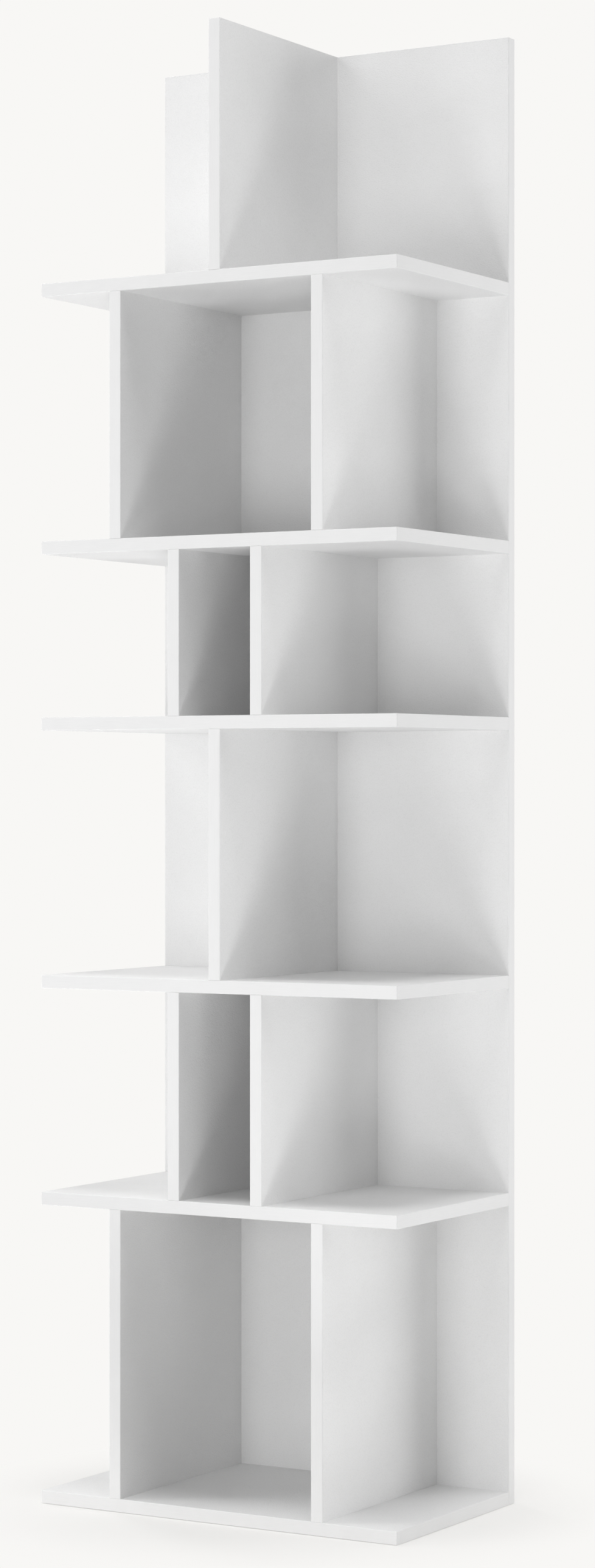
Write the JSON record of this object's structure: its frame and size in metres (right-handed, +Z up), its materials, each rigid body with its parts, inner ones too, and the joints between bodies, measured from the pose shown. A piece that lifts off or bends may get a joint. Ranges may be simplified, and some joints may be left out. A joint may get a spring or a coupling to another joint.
{
  "type": "open-shelf unit",
  "caption": "Tall narrow open-shelf unit: a full-height back panel carries open-ended shelves, with staggered dividers between them, in white laminated board.",
  "frame": {"origin": "on the floor under the middle of the unit's bounding box", "axes": "+Z up, the open front towards -Y, the back panel's rear face towards +Y, +X to the right seen from the front"},
  "size_m": [0.5, 0.296, 1.796],
  "materials": {
    "board": "white laminate on particle board, fine satin, edges banded in the same white",
    "screw": "bright zinc-plated steel",
    "dowel": "plain beech"
  },
  "bodies": {
    "root": {"back_panel": "board", "divider_1_left": "board", "divider_1_right": "board", "divider_2_left": "board", "divider_2_right": "board", "divider_3_centre": "board", "divider_4_left": "board", "divider_4_right": "board", "divider_5_left": "board", "divider_5_right": "board", "divider_6_centre": "board", "shelf_1": "board", "shelf_2": "board", "shelf_3": "board", "shelf_4": "board", "shelf_5": "board", "shelf_6": "board", "divider_screw_1_left": "screw", "dowel_1_left_foot": "dowel", "dowel_1_left_head": "dowel", "divider_screw_1_right": "screw", "dowel_1_right_foot": "dowel", "dowel_1_right_head": "dowel", "divider_screw_2_left": "screw", "dowel_2_left_foot": "dowel", "dowel_2_left_head": "dowel", "divider_screw_2_right": "screw", "dowel_2_right_foot": "dowel", "dowel_2_right_head": "dowel", "divider_screw_3_centre": "screw", "dowel_3_centre_foot": "dowel", "dowel_3_centre_head": "dowel", "divider_screw_4_left": "screw", "dowel_4_left_foot": "dowel", "dowel_4_left_head": "dowel", "divider_screw_4_right": "screw", "dowel_4_right_foot": "dowel", "dowel_4_right_head": "dowel", "divider_screw_5_left": "screw", "dowel_5_left_foot": "dowel", "dowel_5_left_head": "dowel", "divider_screw_5_right": "screw", "dowel_5_right_foot": "dowel", "dowel_5_right_head": "dowel", "divider_screw_6_centre_1": "screw", "divider_screw_6_centre_2": "screw", "dowel_6_centre_foot": "dowel", "shelf_screw_1_left": "screw", "shelf_screw_1_right": "screw", "shelf_screw_2_left": "screw", "shelf_screw_2_right": "screw", "shelf_screw_3_left": "screw", "shelf_screw_3_right": "screw", "shelf_screw_4_left": "screw", "shelf_screw_4_right": "screw", "shelf_screw_5_left": "screw", "shelf_screw_5_right": "screw", "shelf_screw_6_left": "screw", "shelf_screw_6_right": "screw"}
  },
  "joints": []
}
